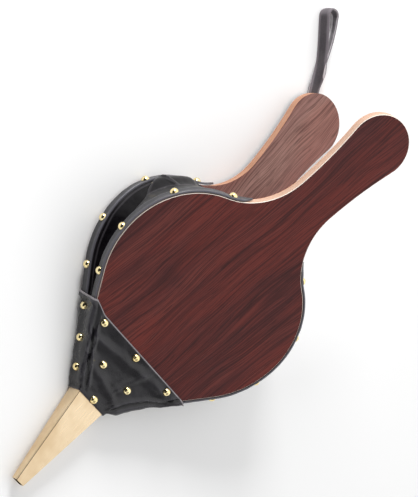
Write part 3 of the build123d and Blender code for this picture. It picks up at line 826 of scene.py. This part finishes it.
def cover_swell(point, normal, tacks):
    """How far the leather stands off: soft waves, a pucker along each front edge, none at the tacks."""
    x, y, h = point.x - HINGE.x, point.y, point.z - REAR_Z
    near = min((point - tack).length for tack in tacks)
    up = ease((normal.z - 0.35) / 0.4)
    down = ease((-normal.z - 0.35) / 0.4)
    beside = 1 - up - down
    inset = cover_half_width(x, h) + COVER - abs(y)
    hand = 1 if y > 0 else -1
    line = inset - (4.2 + 1.3 * sin(x * 170 + hand)) * MM
    along = ease((x + 40 * MM) / (8 * MM)) * ease((18 * MM - x) / (10 * MM))
    swell = 0.0
    swell += up * 2.2 * MM * bell(x + 2 * MM + 0.12 * y, 3.8 * MM) * (0.75 + 0.5 * wobble(y * 45, 2.0))
    swell += up * 1.6 * MM * bell(x + 27 * MM - 0.25 * y, 3.4 * MM) * (0.6 + 0.6 * wobble(y * 60, 7.0))
    swell += up * 1.2 * MM * bell(y + 16 * MM + 0.35 * x, 3.2 * MM) * ease((x + 34 * MM) / (12 * MM))
    swell -= up * along * 2.0 * MM * bell(line, 1.3 * MM)
    swell += up * along * 1.3 * MM * bell(line - 3.2 * MM, 2.0 * MM)
    swell += along * 1.3 * MM * bell(inset - 1.0 * MM, 2.0 * MM) * ease((h - 8 * MM) / (5 * MM))
    swell += beside * along * 1.5 * MM * (0.35 + 1.1 * abs(wobble(x * 75, h * 60, hand * 5.0)))
    swell += beside * 0.35 * MM * wobble(x * 220, h * 90, hand * 9.0)
    swell += up * 0.4 * MM * wobble(x * 75, y * 60, 1.0) + up * 0.16 * MM * wobble(x * 260, y * 170, 3.0)
    calm = (1 - bell(near, 5.2 * MM)) * (1 - down)
    station = cover_station(x, h)[0]
    over_bands = beside * (BAND + 0.2 * MM) * ease((station - COVER_OVERLAP + 1.4 * MM) / (2.0 * MM))
    swell = swell * calm + over_bands - 0.12 * MM * bell(near, 4.6 * MM)
    return swell if swell > 0 else 0.12 * MM * (exp(swell / (0.12 * MM)) - 1)


def make_cover():
    """The nose cover, one piece of leather round the block, both boards' noses and the nozzle's base."""
    lip = -BLOCK_REACH - COVER_LIP
    _, lip_height, lip_bottom = nozzle_size(lip)
    block_top = NOZZLE_BASE[1] - NOZZLE_DROP
    front_corner = front(0, 0, BOARD + COVER) - rear(0, 0, 0)
    rim = front(COVER_OVERLAP, 0, BOARD + COVER) - rear(0, 0, 0)
    counts = (7, 12, 18, 16)
    bottom = profile(
        [
            (lip, lip_bottom - COVER),
            (-BLOCK_REACH, -NOZZLE_DROP - COVER),
            (-BLOCK_HEEL, -COVER),
            (0, -COVER),
            (COVER_OVERLAP, -COVER),
        ],
        counts,
    )
    shoulder = Vector((-BLOCK_REACH, block_top + COVER)).lerp(Vector((front_corner.x, front_corner.z)), 0.37)
    top = profile(
        [
            (lip, lip_bottom + lip_height + COVER),
            (-BLOCK_REACH, block_top + COVER),
            tuple(shoulder),
            (front_corner.x, front_corner.z),
            (rim.x, rim.z),
        ],
        counts,
    )
    base = []
    for k, (low, high) in enumerate(zip(bottom, top)):
        base.append(cover_section(low, high, lerp(1.9 * MM, 2.9 * MM, ease(k / 12))))
    last = len(base) - 1
    for k, row in enumerate(base):
        share = ease((k - last + 12) / 12)
        base[k] = [drawn_over_bands(point, share) for point in row]
    normals = grid_normals(base, True)
    middle = sum(base[30], Vector()) / len(base[30])
    sign = 1 if normals[30][0].dot(base[30][0] - middle) > 0 else -1
    tacks = tack_centres("cover_hinge_tacks", "cover_front_tacks", "cover_side_tacks", "cover_rear_tacks")
    outer, inner = [], []
    for points, line in zip(base, normals):
        outer.append([])
        inner.append([])
        for point, raw_normal in zip(points, line):
            normal = raw_normal * sign
            swell = cover_swell(point, normal, tacks)
            outer[-1].append(point + normal * swell)
            inner[-1].append(point + normal * (swell - COVER * 0.9))
    for outside, inside in zip((outer[0], outer[-1]), (inner[0], inner[-1])):
        for k, point in enumerate(inside):
            outside[k] = outside[k].lerp(point, 0.3)
    made = skin("nose_cover_leather", outer, inner, [cover_leather, cut_edge_and_highlight_leather], wrap=True)
    # The bevelled last strip of the outer face takes the pale edge leather: raw edge and painted highlight.
    columns = len(outer[0])
    for k in range(columns):
        made.data.polygons[(len(outer) - 2) * columns + k].material_index = 1
    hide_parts("nose_cover", "nose_cover_flap")
    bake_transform(made)


make_cover()


# ---------------------------------------------------------------- nozzle
def nozzle_sheet():
    """Folded brass: one sheet round the section; its seam is a bead and a groove at the front left corner."""
    bead = 0.9 * MM
    groove = 0.5 * MM
    rings = []
    for k in range(61):
        u = lerp(-BLOCK_REACH, -NOZZLE_REACH, k / 60)
        full_width, full_height, bottom = nozzle_size(u)
        width, height = full_width / 2, full_height / 2
        centre = bottom + height
        corner = 0.9 * MM

        def path(inset):
            """From the front panel's free edge, round by the right and the back, up to the bead."""
            w, h = width - inset, height - inset
            turn = corner - inset
            free = width - bead - groove
            line = [(free, h), (0.5 * free, h), (0, h), (-0.5 * free, h)]
            for cy, cz, first in (
                (-w + turn, h - turn, 90),
                (-w + turn, -h + turn, 180),
                (w - turn, -h + turn, 270),
            ):
                for step in range(5):
                    a = radians(first + 90 * step / 4)
                    line.append((cy + turn * cos(a), cz + turn * sin(a)))
            line.append((w, 0))
            return line

        outside = path(0.0)
        for step in range(7):
            a = radians(180 * step / 6)
            outside.append((width - bead / 2 + bead / 2 * cos(a), height - 0.1 * bead + 0.4 * bead * sin(a)))
        inside = path(NOZZLE_WALL) + [(width - bead, height - 1.5 * bead)]
        loop = outside + list(reversed(inside))
        rings.append([Vector((HINGE.x + u, y, REAR_Z + centre + z)) for y, z in loop])
    made = bar("nozzle_sheet", rings, [nozzle_brass, brass_inside])
    count, outer = len(rings[0]), len(outside)
    # Inner faces take the dark brass, as painted shade inside the nozzle.
    for face in made.data.polygons[: (len(rings) - 1) * count]:
        if face.index % count >= outer - 1:
            face.material_index = 1
    made.data.set_sharp_from_angle(angle=radians(40))
    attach(made, "rear")
    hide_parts("nozzle")


nozzle_sheet()

# ---------------------------------------------------------------- hanging strap
STRAP_WIDTH = 10 * MM
STRAP_THICK = 1.5 * MM
STRAP_LENGTH = 88 * MM
STRAP_LOOP = 6.8 * MM
STRAP_TAB = 22 * MM
STRAP_ANGLE = radians(34)
STRAP_BOW = 2.4 * MM
STRAP_LEANS = (20, -16)


def strap_line():
    """Route of the lace in the strap's own plane: out along one leg, round the loop and back."""
    far = STRAP_LENGTH - STRAP_LOOP
    half = STRAP_LOOP - STRAP_THICK / 2
    leg = []
    for k in range(41):
        d = lerp(-4 * MM, far, k / 40)
        leg.append(Vector((d, half * ease((d - STRAP_TAB) / (far - STRAP_TAB) * 0.93))))
    arc = [Vector((far + half * sin(a), half * cos(a))) for a in (pi * k / 24 for k in range(1, 24))]
    back = [Vector((p.x, -p.y)) for p in reversed(leg)]
    return evenly(leg + arc + back, 1.5 * MM)


def make_strap():
    """A lace that lies flat under the handle and turns on edge in its loop."""
    screw = Vector(JOINTS["strap_swivel"]["pos_m"])
    along = Vector((cos(STRAP_ANGLE), sin(STRAP_ANGLE), 0))
    across = Vector((-sin(STRAP_ANGLE), cos(STRAP_ANGLE), 0))
    up = Vector((0, 0, 1))
    line = strap_line()
    flat_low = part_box("hanging_strap")[0].z + 0.75 * MM + STRAP_THICK / 2
    loop_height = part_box("hanging_strap")[0].z + STRAP_WIDTH / 2
    rings = []
    for k, point in enumerate(line):
        in_plane = heading_at(line, k)
        first = k < len(line) / 2
        ahead = along * in_plane.x + across * in_plane.y
        turn = pi / 2 * ease((point.x - STRAP_TAB + 3 * MM) / (26 * MM))
        layer = flat_low + (STRAP_THICK + 0.05 * MM if first else 0.0)
        height = lerp(layer, loop_height, ease((point.x - STRAP_TAB + 6 * MM) / (24 * MM)))
        second = ease((k / len(line) - 0.44) / 0.12)
        lean = turn - radians(lerp(*STRAP_LEANS, second)) * ease((point.x - STRAP_TAB) / (20 * MM))
        wide = up * sin(lean) - across * cos(lean)
        thick = ahead.cross(wide)
        bow = STRAP_BOW * sin(pi * max(0.0, point.x - STRAP_TAB) / (STRAP_LENGTH - STRAP_TAB))
        centre = Vector((screw.x, screw.y, 0)) + along * point.x + across * (point.y - bow) + up * height
        cup = 0.25 * MM
        ring = []
        for sign in (1, -1):
            for step in range(9):
                share = sign * (1 - step / 4)
                hollow = cup * (1 - share * share) * ease((point.x - STRAP_TAB) / (20 * MM))
                half = STRAP_THICK / 2 * (1 - 0.45 * abs(share) ** 8)
                ring.append(centre + wide * (share * STRAP_WIDTH / 2) + thick * (sign * half - hollow))
        rings.append(ring)
    made = bar("strap_lace", rings, [strap_leather, strap_back])
    count = len(rings[0])
    for face in made.data.polygons[: (len(rings) - 1) * count]:
        if face.index % count < 8:
            face.material_index = 1
    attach(made, "strap")
    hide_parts("hanging_strap")


make_strap()


# ---------------------------------------------------------------- intake valve
def leather_pad(name, body, curl):
    """A flat leather piece over its CAD solid, with softened edges and a slight curl at its free end."""
    low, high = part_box(name)
    half = Vector(((high.x - low.x) / 2, (high.y - low.y) / 2))
    centre = (low + high) / 2
    corner = 12 * MM if curl else 1.5 * MM
    outline = []
    for cx, cy, first, radius in (
        (1, 1, 0, corner),
        (-1, 1, 90, 1.5 * MM),
        (-1, -1, 180, 1.5 * MM),
        (1, -1, 270, corner),
    ):
        for step in range(9):
            a = radians(first + 90 * step / 8)
            x = cx * (half.x - radius) + radius * cos(a)
            y = cy * (half.y - radius) + radius * sin(a)
            outline.append((x, y))
    soft = 0.25 * MM
    rings = []
    for z, shrink in ((low.z, soft), (low.z + soft, 0), (high.z - soft, 0), (high.z, soft)):
        ring = []
        for x, y in outline:
            size = hypot(x, y)
            share = (size - shrink) / size
            rise = curl * max(0.0, x / half.x) ** 2
            ring.append(Vector((centre.x + x * share, centre.y + y * share, z + rise)))
        rings.append(ring)
    made = bar(name + "_leather", rings, [flap_leather])
    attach(made, body)
    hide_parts(name)


leather_pad("valve_flap", "flap", 0.5 * MM)
leather_pad("flap_tab", "rear", 0.0)


# ---------------------------------------------------------------- floor, light and camera
def make_floor():
    """A plain pale floor."""
    size = 4.0
    mesh = bpy.data.meshes.new("floor")
    corners = [(-size, -size, 0), (size, -size, 0), (size, size, 0), (-size, size, 0)]
    mesh.from_pydata(corners, [], [(0, 1, 2, 3)])
    s = Shader("floor_paper", Roughness=0.85, Specular_IOR_Level=0.2)
    cloud = s.noise(s.stretched((3, 3, 3)), detail=2.0)
    mesh.materials.append(s.finish(s.mix(cloud, (0.93, 0.93, 0.93, 1), (0.95, 0.95, 0.95, 1))))
    floor = bpy.data.objects.new("floor", mesh)
    bpy.context.scene.collection.objects.link(floor)


def area_light(name, location, target, size, power):
    """A white rectangular lamp that faces the target."""
    data = bpy.data.lights.new(name, "AREA")
    data.shape = "RECTANGLE"
    data.size, data.size_y = size
    data.energy = power
    lamp = bpy.data.objects.new(name, data)
    lamp.location = location
    lamp.rotation_euler = (Vector(target) - Vector(location)).to_track_quat("-Z", "Y").to_euler()
    bpy.context.scene.collection.objects.link(lamp)


def make_world(strength, openings):
    """A bright tent with dark openings: a direction and the angles where each begins and ends to fade."""
    world = bpy.data.worlds.new("studio")
    world.use_nodes = True
    tree = world.node_tree
    background = tree.nodes["Background"]
    background.inputs["Color"].default_value = (1, 1, 1, 1)
    place = tree.nodes.new("ShaderNodeTexCoord")
    light = None
    for direction, inner, outer, darkest in openings:
        toward = tree.nodes.new("ShaderNodeVectorMath")
        toward.operation = "DOT_PRODUCT"
        toward.inputs[1].default_value = tuple(direction.normalized())
        tree.links.new(place.outputs["Generated"], toward.inputs[0])
        shade = tree.nodes.new("ShaderNodeMapRange")
        shade.interpolation_type = "SMOOTHSTEP"
        shade.inputs["From Min"].default_value = cos(radians(outer))
        shade.inputs["From Max"].default_value = cos(radians(inner))
        shade.inputs["To Min"].default_value = 1.0
        shade.inputs["To Max"].default_value = darkest
        tree.links.new(toward.outputs["Value"], shade.inputs["Value"])
        product = tree.nodes.new("ShaderNodeMath")
        product.operation = "MULTIPLY"
        tree.links.new(shade.outputs["Result"], product.inputs[0])
        if light is None:
            product.inputs[1].default_value = strength
        else:
            tree.links.new(light, product.inputs[1])
        light = product.outputs["Value"]
    tree.links.new(light, background.inputs["Strength"])
    bpy.context.scene.world = world


# The camera: turned by these three angles from the bellows' own axes, at this distance and lens
CAMERA_TURN = (radians(50.59), radians(19.00), radians(30.47))
CAMERA_DISTANCE = 1.43846
CAMERA_SHIFT = (10.634 * MM, -0.802 * MM)
LENS = 130.49
AIM = rear(120.0 * MM, 0, 20 * MM)


def make_camera():
    """The camera at the photo's angle."""
    roll, lean, tilt = CAMERA_TURN
    to_camera = Matrix.Rotation(roll, 3, "Z") @ Matrix.Rotation(lean, 3, "Y") @ Matrix.Rotation(tilt, 3, "X")
    to_bellows = to_camera.transposed()
    data = bpy.data.cameras.new("camera")
    data.sensor_width = 36
    data.sensor_fit = "AUTO"
    data.lens = LENS
    camera = bpy.data.objects.new("camera", data)
    location = AIM + to_bellows @ Vector((-CAMERA_SHIFT[0], -CAMERA_SHIFT[1], CAMERA_DISTANCE))
    camera.matrix_world = Matrix.Translation(location) @ to_bellows.to_4x4()
    bpy.context.scene.collection.objects.link(camera)
    bpy.context.scene.camera = camera
    return camera


make_floor()
camera = make_camera()
view = camera.matrix_world.to_3x3()
middle = Vector((0, 0, 0.04))


def beside_camera(right, up, back):
    """A place in the room as the camera sees it: to its right, above, and towards it from the object."""
    return middle + view @ Vector((right, up, back))


behind_camera = view @ Vector((-0.48, 0.42, 0.77))
over_boards = Vector((-0.6, -0.45, 0.66))
make_world(1.3, [(behind_camera, 44, 62, 0.02), (over_boards, 22, 44, 0.3)])
area_light("key", beside_camera(0.35, 1.6, 0.8), middle, (0.6, 0.6), 30)
area_light("rim", beside_camera(-1.5, 0.9, 0.1), middle, (0.4, 1.0), 4)
bpy.context.scene.view_settings.view_transform = "Standard"
